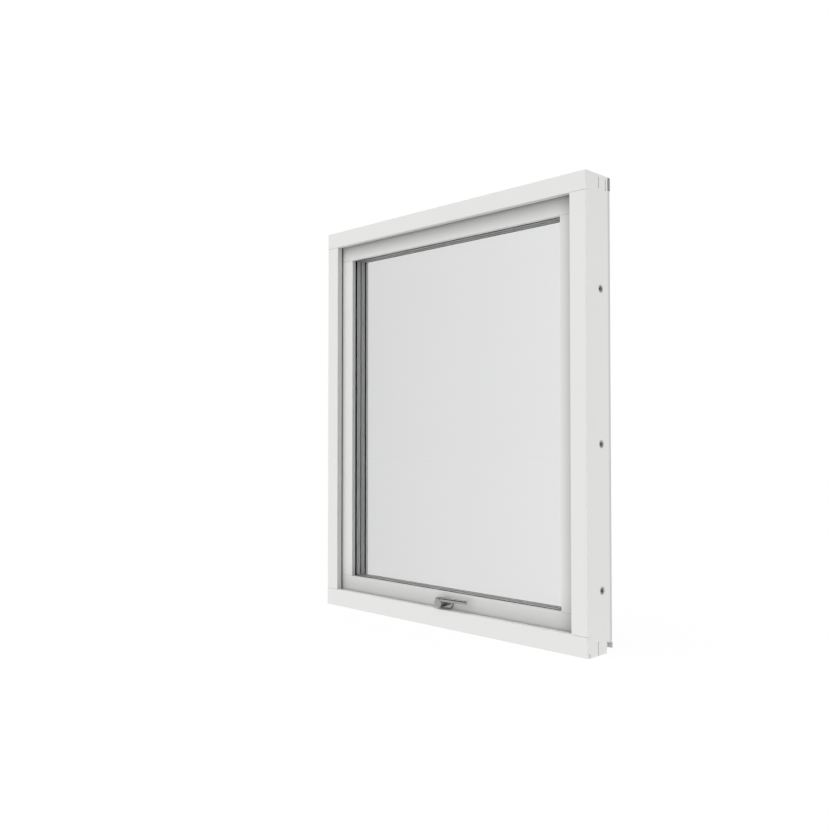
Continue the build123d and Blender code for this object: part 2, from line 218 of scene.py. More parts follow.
class Graph:
    """Node tree of a material or world, filled by one generic method."""

    def __init__(self, tree: bpy.types.NodeTree) -> None:
        """Start from an empty tree."""
        self.tree = tree
        tree.nodes.clear()

    def node(
        self,
        kind: str,
        settings: Optional[Mapping[str, Any]] = None,
        inputs: Optional[Mapping[Union[int, str], Term]] = None,
        out: Union[int, str, None] = 0,
    ) -> Optional[Wire]:
        """Add a node, set it up and feed it.

        Args:
            kind: Blender's name of the node's type.
            settings: properties set before the inputs.
            inputs: socket name or number, to a wire, number or colour.
            out: output that the returned wire leaves, or None for a node that has none.

        Returns:
            The wire from that output, if there is one.
        """
        made = self.tree.nodes.new(kind)
        for name, value in (settings or {}).items():
            setattr(made, name, value)
        for name, value in (inputs or {}).items():
            if isinstance(value, Wire):
                self.tree.links.new(value.socket, made.inputs[name])
            else:
                made.inputs[name].default_value = value
        return None if out is None else Wire(self, made.outputs[out])

    def place(self) -> Wire:
        """Object coordinates, in metres in the frame of the solids."""
        return self.node("ShaderNodeTexCoord", out="Object")

    def axes(self, vector: Wire) -> tuple[Wire, Wire, Wire]:
        """Split a vector into its X, Y and Z."""
        x = self.node("ShaderNodeSeparateXYZ", inputs={0: vector})
        return x, x.beside(1), x.beside(2)

    def sideways(self) -> Wire:
        """One on flat faces that look left or right, and nought on the others."""
        across, _, _ = self.axes(self.node("ShaderNodeNewGeometry", out="True Normal"))
        return abs(across).above(SIDEWAYS_NORMAL)

    def stretched(self, vector: Wire, scale: Place) -> Wire:
        """Vector times a scale on each axis."""
        return self.node("ShaderNodeVectorMath", {"operation": "MULTIPLY"}, {0: vector, 1: scale})

    def noise(self, vector: Wire, lumps: Lumps) -> Wire:
        """Noise from about 0 to 1 on a vector."""
        inputs = {"Scale": lumps.scale, "Detail": lumps.detail, "Roughness": lumps.roughness}
        return self.node("ShaderNodeTexNoise", inputs={"Vector": vector, **inputs})

    def blend(self, factor: Term, first: Term, second: Term) -> Wire:
        """Colour between two colours."""
        settings = {"data_type": "RGBA"}
        return self.node("ShaderNodeMix", settings, {0: factor, 6: first, 7: second}, out=2)

    def mottled(self, tone: Term, colour: Colour, shades: Shades) -> Wire:
        """Colour that goes from its darkest to its palest shade with a tone of 0 to 1."""
        return self.blend(tone, shaded(colour, shades.dark), shaded(colour, shades.pale))

    def bump(self, height: Wire, relief: Relief) -> Wire:
        """Normal of a surface with a height of 0 to 1."""
        inputs = {"Height": height, "Distance": relief.depth, "Strength": relief.strength}
        return self.node("ShaderNodeBump", inputs=inputs, out="Normal")

    def principled(self, inputs: Mapping[Union[int, str], Term]) -> None:
        """Put a surface shader with the given sockets on the material's output."""
        shader = self.node("ShaderNodeBsdfPrincipled", inputs=inputs)
        self.node("ShaderNodeOutputMaterial", inputs={"Surface": shader}, out=None)


# Finishes


class Finish:
    """A named material that is made once and kept."""

    name: str
    slot: str

    def dress(self, graph: Graph) -> None:
        """Fill the material's graph."""
        raise NotImplementedError

    def material(self) -> bpy.types.Material:
        """Find the material of this finish, or make it at its first use.

        Returns:
            The material.
        """
        found = bpy.data.materials.get(self.name)
        if found is None:
            found = bpy.data.materials.new(self.name)
            found.use_nodes = True
            self.dress(Graph(found.node_tree))
        return found


@dataclass(frozen=True)
class PaintedTimber(Finish):
    """Satin white paint on planed timber, with the grain just telling through.

    The height is a fine orange peel plus fibres drawn out along the run of the piece.
    """

    run: Run
    name: str
    slot: str = "painted_timber"
    colour: Colour = (0.745, 0.75, 0.733)
    shades: Shades = Shades(0.982, 1.018)
    fibres_across: float = 420.0
    fibres_along: float = 5.0
    fibres: Lumps = Lumps(1.0, 3.0, 0.55)
    peel: Lumps = Lumps(650.0, 1.0)
    clouds: Lumps = Lumps(7.0)
    fibre_tone: float = 0.35
    fibre_height: float = 0.55
    relief: Relief = Relief(0.00006, 0.6)
    smoothest: float = 0.31
    fibre_roughness: float = 0.06
    cloud_roughness: float = 0.05
    coat_weight: float = 0.12
    coat_roughness: float = 0.3
    refraction: float = 1.47

    def dress(self, graph: Graph) -> None:
        """Mix the paint's slight clouding, its fibres and its peel.

        Args:
            graph: empty graph of the material.
        """
        place = graph.place()
        scale = [self.fibres_across] * 3
        scale[self.run.value] = self.fibres_along
        fibres = graph.noise(graph.stretched(place, tuple(scale)), self.fibres)
        peel = graph.noise(place, self.peel)
        clouds = graph.noise(place, self.clouds)
        tone = self.fibre_tone * fibres + (1.0 - self.fibre_tone) * clouds
        height = self.fibre_height * fibres + (1.0 - self.fibre_height) * peel
        graph.principled(
            {
                "Base Color": self.with_painted_shade(graph, graph.mottled(tone, self.colour, self.shades)),
                "Roughness": self.smoothest + self.fibre_roughness * fibres + self.cloud_roughness * clouds,
                "Normal": graph.bump(height, self.relief),
                "Coat Weight": self.coat_weight,
                "Coat Roughness": self.coat_roughness,
                "IOR": self.refraction,
            }
        )

    def with_painted_shade(self, graph: Graph, colour: Wire) -> Wire:
        """Colour of the paint with its painted shade, of which the frame has none."""
        return colour


@dataclass(frozen=True)
class PaintedShadeEdge:
    """An edge of the opening in the frame, and the painted shade beside it: the sash paint darkened where
    the lip of the frame shades it.

    At the distance d from the edge the paint keeps 1 - share * exp(-(d / reach)^2) of its colour.
    """

    axis: Run
    place: float
    inwards: float
    share: float
    reach: float

    def kept(self, position: Wire) -> Wire:
        """Share of the colour that the painted shade leaves at a position on the edge's axis."""
        distance = (self.inwards * (position - self.place)).largest(0.0) / self.reach
        # Painted shade: the paint darkens towards the edge, where the lip shades the sash.
        return 1.0 - self.share * (-1.0 * distance * distance).exponent()


@dataclass(frozen=True)
class SashPaintWithPaintedShade(PaintedTimber):
    """Paint of the sash, with painted shade that darkens it towards the lip of the frame round it."""

    edges: tuple[PaintedShadeEdge, ...] = ()

    def with_painted_shade(self, graph: Graph, colour: Wire) -> Wire:
        """Darken the paint with the painted shade of every edge.

        Args:
            graph: graph of the material.
            colour: colour of the paint without its painted shade.

        Returns:
            The colour with the painted shade.
        """
        position = graph.axes(graph.place())
        # Painted shade from each edge, multiplied together, darkens the sash paint.
        kept = math.prod(edge.kept(position[edge.axis.value]) for edge in self.edges)
        return graph.blend(kept, opaque(BLACK), colour)


@dataclass(frozen=True)
class PowderCoat(Finish):
    """Light grey powder coat on aluminium: matt, with a close grain and a slight lustre."""

    name: str = "powder_coat"
    slot: str = "outer_cladding"
    colour: Colour = (0.60, 0.61, 0.612)
    shades: Shades = Shades(0.955, 1.045)
    grain: Lumps = Lumps(1400.0, 2.0, 0.6)
    clouds: Lumps = Lumps(5.0)
    grain_tone: float = 0.6
    smoothest: float = 0.40
    grain_roughness: float = 0.14
    lustre: float = 0.15
    relief: Relief = Relief(0.00005, 0.5)

    def dress(self, graph: Graph) -> None:
        """Mix the grain of the powder with slow clouds of tone.

        Args:
            graph: empty graph of the material.
        """
        place = graph.place()
        grain = graph.noise(place, self.grain)
        clouds = graph.noise(place, self.clouds)
        tone = self.grain_tone * grain + (1.0 - self.grain_tone) * clouds
        graph.principled(
            {
                "Base Color": graph.mottled(tone, self.colour, self.shades),
                "Roughness": self.smoothest + self.grain_roughness * grain,
                "Metallic": self.lustre,
                "Normal": graph.bump(grain, self.relief),
            }
        )


@dataclass(frozen=True)
class ClearGlass(Finish):
    """Float glass with a faint tint that is a trifle uneven, and a coating against glare.

    The coating is a low refraction, at which the panes mirror little. The tone of the tint at the place x
    is middle + clouds + slope * x: the clouds are uneven tint, and the slope is painted shade that makes
    the panes darker to the left.
    """

    name: str = "float_glass"
    slot: str = "clear_glass"
    colour: Colour = (0.898, 0.90, 0.899)
    shades: Shades = Shades(0.98, 1.02)
    clouds: Lumps = Lumps(1.5, 1.0)
    middle_tone: float = 0.4
    cloud_tone: float = 0.2
    painted_shade_slope: float = 1.25
    refraction: float = 1.12

    def dress(self, graph: Graph) -> None:
        """Give the pane its tint, with painted shade that darkens it to the left.

        Args:
            graph: empty graph of the material.
        """
        place = graph.place()
        x, _, _ = graph.axes(place)
        clouds = graph.noise(place, self.clouds)
        # Painted shade: the slope darkens the panes towards the left.
        tone = self.middle_tone + self.cloud_tone * clouds + self.painted_shade_slope * x
        graph.principled(
            {
                "Base Color": graph.mottled(tone, self.colour, self.shades),
                "Roughness": 0.0,
                "IOR": self.refraction,
                "Transmission Weight": 1.0,
            }
        )


@dataclass(frozen=True)
class SpacerBar(Finish):
    """Grey spacer between the panes: a row of pin holes, and black sealant at the outer panes."""

    middle_depths: tuple[float, float]
    half_thickness: float
    name: str = "grey_spacer"
    slot: str = "spacer_bar"
    colour: Colour = (0.50, 0.505, 0.505)
    shades: Shades = Shades(0.95, 1.05)
    sealant: Colour = (0.012, 0.012, 0.013)
    sealant_width: float = 1.1 * MILLIMETRE
    hole_step: float = 8.0 * MILLIMETRE
    hole_radius: float = 0.6 * MILLIMETRE
    hole_shade: float = 0.12
    grain: Lumps = Lumps(1100.0)
    smoothest: float = 0.42
    grain_roughness: float = 0.1
    sealant_roughness: float = 0.2
    relief: Relief = Relief(0.00002, 0.3)

    def dress(self, graph: Graph) -> None:
        """Draw the pin holes along the bar, and blacken the faces that meet the outer panes.

        Args:
            graph: empty graph of the material.
        """
        place = graph.place()
        x, y, z = graph.axes(place)
        upright = graph.sideways()
        along = upright * z + (1.0 - upright) * x
        first, second = self.middle_depths
        half_apart = (second - first) / 2
        from_middle = abs(y - (first + second) / 2)
        aside = abs(from_middle - half_apart)
        beside = along.folded(self.hole_step)
        hole = (aside * aside + beside * beside).root().below(self.hole_radius)
        edge = from_middle.above(half_apart + self.half_thickness - self.sealant_width)
        grain = graph.noise(place, self.grain)
        bar = graph.mottled(grain, self.colour, self.shades)
        drilled = graph.blend(hole, bar, shaded(self.colour, self.hole_shade))
        graph.principled(
            {
                "Base Color": graph.blend(edge, drilled, opaque(self.sealant)),
                "Roughness": self.smoothest + self.grain_roughness * grain + self.sealant_roughness * edge,
                "Normal": graph.bump(grain, self.relief),
            }
        )


@dataclass(frozen=True)
class BlackRubber(Finish):
    """Extruded black rubber: matt, with a fine skin and a faint grey bloom."""

    name: str = "black_rubber"
    slot: str = "black_seal"
    colour: Colour = (0.016, 0.016, 0.017)
    shades: Shades = Shades(0.7, 1.8)
    bloom: Lumps = Lumps(60.0, 3.0)
    skin: Lumps = Lumps(2200.0, 1.0)
    smoothest: float = 0.55
    bloom_roughness: float = 0.2
    relief: Relief = Relief(0.00003, 0.5)

    def dress(self, graph: Graph) -> None:
        """Mix the bloom of the rubber with its skin.

        Args:
            graph: empty graph of the material.
        """
        place = graph.place()
        bloom = graph.noise(place, self.bloom)
        skin = graph.noise(place, self.skin)
        graph.principled(
            {
                "Base Color": graph.mottled(bloom, self.colour, self.shades),
                "Roughness": self.smoothest + self.bloom_roughness * bloom,
                "Normal": graph.bump(skin, self.relief),
            }
        )


@dataclass(frozen=True)
class ZincPlate(Finish):
    """Zinc on turned steel, with turning marks round each sleeve, and near-black screws deep inside, whose
    colour is partly painted shade in the bore.

    The screws and painted shade cover what lies nearer to the middle of the window than screw_from.
    """

    screw_from: float
    name: str = "zinc_plate"
    slot: str = "zinc_sleeve"
    colour: Colour = (0.46, 0.46, 0.455)
    shades: Shades = Shades(0.85, 1.1)
    screw_and_painted_shade: Colour = (0.05, 0.05, 0.05)
    clouds: Lumps = Lumps(220.0, 3.0)
    mark_scale: Place = (1800.0, 60.0, 60.0)
    marks: Lumps = Lumps(1.0)
    smoothest: float = 0.26
    cloud_roughness: float = 0.2
    lustre: float = 0.5
    relief: Relief = Relief(0.00004, 0.5)

    def dress(self, graph: Graph) -> None:
        """Cloud the plating and score it finely, and darken the screws with painted shade deep in the bore.

        Args:
            graph: empty graph of the material.
        """
        place = graph.place()
        x, _, _ = graph.axes(place)
        clouds = graph.noise(place, self.clouds)
        marks = graph.noise(graph.stretched(place, self.mark_scale), self.marks)
        plate = graph.mottled(clouds, self.colour, self.shades)
        graph.principled(
            {
                # Near-black screws and painted shade in the bore.
                "Base Color": graph.blend(abs(x).below(self.screw_from), plate, opaque(self.screw_and_painted_shade)),
                "Metallic": self.lustre,
                "Roughness": self.smoothest + self.cloud_roughness * clouds,
                "Normal": graph.bump(marks, self.relief),
            }
        )


@dataclass(frozen=True)
class GalvanisedSteel(Finish):
    """Flat steel strip with the crystal pattern of hot zinc."""

    name: str = "galvanised_steel"
    slot: str = "steel_arm"
    colour: Colour = (0.52, 0.53, 0.54)
    shades: Shades = Shades(0.85, 1.1)
    crystals: float = 140.0
    smoothest: float = 0.34
    crystal_roughness: float = 0.14

    def dress(self, graph: Graph) -> None:
        """Shade each crystal a little differently.

        Args:
            graph: empty graph of the material.
        """
        cells = {"Vector": graph.place(), "Scale": self.crystals}
        crystal = graph.node("ShaderNodeTexVoronoi", {"feature": "F1"}, cells, out="Color")
        tone, _, _ = graph.axes(crystal)
        graph.principled(
            {
                "Base Color": graph.mottled(tone, self.colour, self.shades),
                "Metallic": 1.0,
                "Roughness": self.smoothest + self.crystal_roughness * tone,
            }
        )


@dataclass(frozen=True)
class SatinChrome(Finish):
    """Satin chrome plate, brushed along the lever and blasted duller on the hub."""

    name: str = "satin_chrome"
    slot: str = "satin_handle"
    colour: Colour = (0.35, 0.35, 0.345)
    shades: Shades = Shades(0.93, 1.07)
    brush_scale: Place = (40.0, 2600.0, 2600.0)
    brush: Lumps = Lumps(1.0, 3.0)
    clouds: Lumps = Lumps(45.0)
    smoothest: float = 0.10
    brush_roughness: float = 0.08
    cloud_roughness: float = 0.05
    hub_roughness: float = 0.16
    hub_reach: float = 13.2 * MILLIMETRE
    relief: Relief = Relief(0.00002, 0.3)

    def dress(self, graph: Graph) -> None:
        """Draw the brush lines out along X, cloud the plating, and dull it about the spindle.

        Args:
            graph: empty graph of the material.
        """
        place = graph.place()
        x, _, z = graph.axes(place)
        aside = z - SPINDLE_HEIGHT
        hub = (x * x + aside * aside).root().below(self.hub_reach)
        lines = graph.noise(graph.stretched(place, self.brush_scale), self.brush)
        clouds = graph.noise(place, self.clouds)
        brushed = self.smoothest + self.brush_roughness * lines + self.cloud_roughness * clouds
        graph.principled(
            {
                "Base Color": graph.mottled(clouds, self.colour, self.shades),
                "Metallic": 1.0,
                "Roughness": brushed + self.hub_roughness * hub,
                "Normal": graph.bump(lines, self.relief),
            }
        )


# Parametric surfaces


def quads_of_grid(shape: tuple[int, ...], wrap_u: bool, wrap_v: bool) -> Grid:
    """Corner numbers of the faces that join neighbours in a grid.

    Face (i, j) has the corners (i, j), (i+1, j), (i+1, j+1) and (i, j+1), with the numbers
    taken round the grid where it wraps.

    Args:
        shape: number of rows and columns first.
        wrap_u: whether the last row joins the first.
        wrap_v: whether the last column joins the first.

    Returns:
        Array of faces by 4 corners.
    """
    rows, columns = shape[:2]
    i, j = np.meshgrid(
        np.arange(rows if wrap_u else rows - 1),
        np.arange(columns if wrap_v else columns - 1),
        indexing="ij",
    )
    row, next_row = i * columns, (i + 1) % rows * columns
    next_j = (j + 1) % columns
    corners = [row + j, next_row + j, next_row + next_j, row + next_j]
    return np.stack(corners, axis=-1).reshape(-1, 4)


def mesh_from_grids(name: str, grids: Sequence[Grid], wrap_u: bool, wrap_v: bool) -> bpy.types.Object:
    """Object made of one or more grids of points, with its poles closed and its faces outwards.

    Args:
        name: name of the object and its mesh.
        grids: points, each an array of u by v by 3.
        wrap_u: whether the last row of a grid joins its first.
        wrap_v: whether the last column of a grid joins its first.

    Returns:
        The new object, linked to the scene.
    """
    starts = np.cumsum([0] + [grid.shape[0] * grid.shape[1] for grid in grids])
    points = np.concatenate([grid.reshape(-1, 3) for grid in grids])
    faces = [quads_of_grid(grid.shape, wrap_u, wrap_v) + start for grid, start in zip(grids, starts)]
    mesh = bpy.data.meshes.new(name)
    mesh.from_pydata(points.tolist(), [], np.concatenate(faces).tolist())
    work = bmesh.new()
    work.from_mesh(mesh)
    bmesh.ops.remove_doubles(work, verts=work.verts, dist=MERGE_DISTANCE)
    bmesh.ops.dissolve_degenerate(work, edges=work.edges, dist=MERGE_DISTANCE)
    bmesh.ops.recalc_face_normals(work, faces=work.faces)
    work.to_mesh(mesh)
    work.free()
    piece = bpy.data.objects.new(name, mesh)
    bpy.context.scene.collection.objects.link(piece)
    return piece


def smooth(piece: bpy.types.Object, crease_degrees: float) -> None:
    """Shade a piece smoothly, with sharp edges where faces meet at more than an angle."""
    piece.data.shade_smooth()
    piece.data.set_sharp_from_angle(angle=math.radians(crease_degrees))


def signed_power(value: Grid, power: float) -> Grid:
    """Sign of a value times a power of its size."""
    return np.sign(value) * np.abs(value) ** power


def superellipse(half_width: float, half_height: float, squareness: float, steps: int) -> Grid:
    """Rounded closed line round the origin.

    Point t is half_width * sgn(cos t) |cos t|^(2/n) across and half_height * sgn(sin t)
    |sin t|^(2/n) up: an ellipse at a squareness n of 2, and nearer a rectangle above it.

    Args:
        half_width: reach across.
        half_height: reach up.
        squareness: the power n.
        steps: number of points.

    Returns:
        Array of points by 2.
    """
    angle = np.linspace(0.0, FULL_TURN, steps, endpoint=False)
    across = half_width * signed_power(np.cos(angle), 2.0 / squareness)
    up = half_height * signed_power(np.sin(angle), 2.0 / squareness)
    return np.column_stack([across, up])


def mitred_ring(name: str, low: Grid, high: Grid, section: Grid) -> bpy.types.Object:
    """Section carried round an upright rectangle with mitred corners.

    Point (c, s) is corner c of the rectangle, moved towards its middle along both sides by
    the first part of section point s, at the depth of its second part.

    Args:
        name: name of the piece.
        low: lowest corner of the rectangle.
        high: highest corner of the rectangle.
        section: closed line of (inset, depth) points.

    Returns:
        The ring as an object.
    """
    corners = np.array([[low[0], low[2]], [high[0], low[2]], [high[0], high[2]], [low[0], high[2]]])
    inwards = np.array([[1.0, 1.0], [-1.0, 1.0], [-1.0, -1.0], [1.0, -1.0]])
    plan = corners[:, None, :] + inwards[:, None, :] * section[None, :, :1]
    depth = np.broadcast_to(section[None, :, 1], plan.shape[:2])
    grid = np.stack([plan[..., 0], depth, plan[..., 1]], axis=-1)
    return mesh_from_grids(name, [grid], True, True)


def put(piece: bpy.types.Object, body: str, finish: Finish, node: str) -> None:
    """Give a new piece its finish and its body, in place of a solid.

    Args:
        piece: the finished mesh object.
        body: body that it moves with.
        finish: its material.
        node: solid that it stands for.
    """
    piece.data.materials.append(finish.material())
    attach(piece, body)
    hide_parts(node)
    LOG.info("%s: %d faces on %s", piece.name, len(piece.data.polygons), body)


def coat(nodes: Nodes, finish: Finish, *names: str) -> None:
    """Give solids of the frame their finish.

    Args:
        nodes: solids by name.
        finish: their material.
        names: the solids to coat.
    """
    for name in names:
        materials = nodes[name].data.materials
        materials.clear()
        materials.append(finish.material())
        LOG.info("%s: %s", name, finish.name)


# Sub-assemblies


class Assembly:
    """Pieces of the window that belong together."""

    def dress(self, nodes: Nodes) -> None:
        """Finish the solids of this group, and lay the pieces that stand for some of them."""
        raise NotImplementedError


@dataclass
class Joinery(Assembly):
    """Painted bars of the frame and the sash, each with its grain along its run."""

    frame_level: Sequence[str] = ("frame_head", "frame_sill")
    frame_upright: Sequence[str] = ("frame_jamb_left", "frame_jamb_right")
    sash_level: Sequence[str] = ("sash_top_rail", "sash_bottom_rail")
    sash_upright: Sequence[str] = ("sash_stile_left", "sash_stile_right")
    # Painted shade on the sash beside each edge: its share at the edge and its reach.
    head_shade_share: float = 0.40
    head_shade_reach: float = 31.0 * MILLIMETRE
    jamb_shade_share: float = 0.40
    jamb_shade_reach: float = 34.0 * MILLIMETRE
    sill_shade_share: float = 0.27
    sill_shade_reach: float = 55.0 * MILLIMETRE

    def _shade_edges(self) -> tuple[PaintedShadeEdge, ...]:
        """Find the edges beside which the sash paint carries painted shade.

        Returns:
            The edges under the head, beside the right jamb and over the sill.
        """
        under_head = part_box("frame_head")[0].z
        beside_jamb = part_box("frame_jamb_right")[0].x
        over_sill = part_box("frame_sill")[1].z
        return (
            PaintedShadeEdge(Run.ALONG_Z, under_head, -1.0, self.head_shade_share, self.head_shade_reach),
            PaintedShadeEdge(Run.ALONG_X, beside_jamb, -1.0, self.jamb_shade_share, self.jamb_shade_reach),
            PaintedShadeEdge(Run.ALONG_Z, over_sill, 1.0, self.sill_shade_share, self.sill_shade_reach),
        )

    def dress(self, nodes: Nodes) -> None:
        """Paint the bars of the frame, and those of the sash with painted shade beside the head, the right
        jamb and the sill.

        Args:
            nodes: solids by name.
        """
        edges = self._shade_edges()
        coat(nodes, PaintedTimber(Run.ALONG_X, "frame_paint_level"), *self.frame_level)
        coat(nodes, PaintedTimber(Run.ALONG_Z, "frame_paint_upright"), *self.frame_upright)
        # The sash paint carries painted shade towards the lip of the frame.
        coat(nodes, SashPaintWithPaintedShade(Run.ALONG_X, "sash_paint_painted_shade_level", edges=edges), *self.sash_level)
        coat(nodes, SashPaintWithPaintedShade(Run.ALONG_Z, "sash_paint_painted_shade_upright", edges=edges), *self.sash_upright)


@dataclass
class Cladding(Assembly):
    """Aluminium channels outside the frame and the sash."""

    sides: Sequence[str] = ("jamb_left", "jamb_right", "head", "sill")
    sash_sides: Sequence[str] = ("top", "bottom", "left", "right")

    def dress(self, nodes: Nodes) -> None:
        """Coat every channel."""
        coat(nodes, PowderCoat(), *(f"cladding_{side}" for side in self.sides))
        coat(nodes, PowderCoat(), *(f"sash_cladding_{side}" for side in self.sash_sides))


@dataclass
class Glazing(Assembly):
    """Three panes with their spacers."""

    panes: Sequence[str] = ("glass_inner", "glass_middle", "glass_outer")
    spacers: Sequence[str] = ("spacer_inner", "spacer_outer")

    def dress(self, nodes: Nodes) -> None:
        """Make the panes clear, and the spacers grey with black edges.

        Args:
            nodes: solids by name.
        """
        coat(nodes, ClearGlass(), *self.panes)
        low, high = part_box(self.spacers[0])
        far_low, far_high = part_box(self.spacers[1])
        middles = ((low.y + high.y) / 2, (far_low.y + far_high.y) / 2)
        coat(nodes, SpacerBar(middles, (high.y - low.y) / 2), *self.spacers)


@dataclass
class Seals(Assembly):
    """Rubber strips: the bulb seal of the frame, and the gaskets that bed the glass."""

    bulb_width: float = 5.0 * MILLIMETRE
    gasket_width: float = 6.0 * MILLIMETRE
    bulb_squareness: float = 2.5
    gasket_squareness: float = 5.0
    section_steps: int = 28
    crease_degrees: float = 40.0

    def _ring(self, node: str, name: str, width: float, squareness: float) -> None:
        """Carry a rounded section round a strip's rectangle, at the strip's own depth.

        Args:
            node: plain strip that the new one stands for.
            name: name of the new strip.
            width: width of its section.
            squareness: power of its section's outline.
        """
        low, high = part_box(node)
        half_depth = (high.y - low.y) / 2
        section = superellipse(width / 2, half_depth, squareness, self.section_steps)
        section += (width / 2, (low.y + high.y) / 2)
        strip = mitred_ring(name, np.array(low), np.array(high), section)
        smooth(strip, self.crease_degrees)
        put(strip, FIXED_BODY, BlackRubber(), node)

    def dress(self, nodes: Nodes) -> None:
        """Lay the three strips.

        Args:
            nodes: solids by name.
        """
        self._ring("frame_seal", "bulb_seal", self.bulb_width, self.bulb_squareness)
        for side in ("inner", "outer"):
            name = f"gasket_{side}"
            self._ring(f"glazing_bed_{side}", name, self.gasket_width, self.gasket_squareness)


@dataclass
class Sleeves(Assembly):
    """Fixing sleeves in the jambs, with hexagon sockets, and the heads of screws deep inside whose
    near-black colour is partly painted shade.
    """

    radius: float = 10.0 * MILLIMETRE
    rim: float = 0.7 * MILLIMETRE
    socket_half: float = 6.0 * MILLIMETRE
    socket_lead: float = 0.6 * MILLIMETRE
    socket_depth: float = 4.5 * MILLIMETRE
    bore_radius: float = 4.0 * MILLIMETRE
    screw_depth: float = 6.0 * MILLIMETRE
    screw_margin: float = 0.1 * MILLIMETRE
    middle_height: float = 513.0 * MILLIMETRE
    steps: int = 72
    crease_degrees: float = 25.0

    def _turned(self, outer: float, inner: float, depth: float, height: float) -> Grid:
        """One sleeve about an axis along X.

        Ring s lies at x(s) with the radius a(s) + b(s) h(t), where h(t) is the distance from
        the axis to a hexagon's side at the angle t: the socket's half width over the cosine
        of t's distance to the middle of that side.

        Args:
            outer: place on X of the face that shows.
            inner: place on X of the closed end.
            depth: place of the axis on Y.
            height: place of the axis on Z.

        Returns:
            Points, rings by steps by 3.
        """
        angle = np.linspace(0.0, FULL_TURN, self.steps, endpoint=False)
        sixth = FULL_TURN / 6
        hexagon = self.socket_half / np.cos((angle + sixth / 2) % sixth - sixth / 2)
        length = abs(inner - outer)
        inwards = math.copysign(1.0, inner - outer)
        rings = np.array(
            [
                (length, 0.0, 0.0),
                (length, self.radius, 0.0),
                (self.rim, self.radius, 0.0),
                (0.0, self.radius - self.rim, 0.0),
                (0.0, self.socket_lead, 1.0),
                (self.socket_lead, 0.0, 1.0),
                (self.socket_depth, 0.0, 1.0),
                (self.socket_depth, self.bore_radius, 0.0),
                (self.screw_depth, self.bore_radius, 0.0),
                (self.screw_depth, 0.0, 0.0),
            ]
        )
        radius = rings[:, 1:2] + rings[:, 2:3] * hexagon[None, :]
        x = np.broadcast_to(outer + inwards * rings[:, :1], radius.shape)
        return np.stack([x, depth + radius * np.cos(angle), height + radius * np.sin(angle)], axis=-1)

    def dress(self, nodes: Nodes) -> None:
        """Turn three sleeves for each jamb.

        Args:
            nodes: solids by name.
        """
        for hand in Hand:
            side = hand.name.lower()
            low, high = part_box(f"fixing_sleeves_{side}")
            outer, inner = (high.x, low.x) if hand is Hand.RIGHT else (low.x, high.x)
            heights = (low.z + self.radius, self.middle_height, high.z - self.radius)
            depth = (low.y + high.y) / 2
            grids = [self._turned(outer, inner, depth, height) for height in heights]
            sleeves = mesh_from_grids(f"sleeve_set_{side}", grids, False, True)
            smooth(sleeves, self.crease_degrees)
            # The screws deep in the bore are near black, partly as painted shade.
            finish = ZincPlate(abs(outer) - self.socket_depth - self.screw_margin)
            put(sleeves, FIXED_BODY, finish, f"fixing_sleeves_{side}")


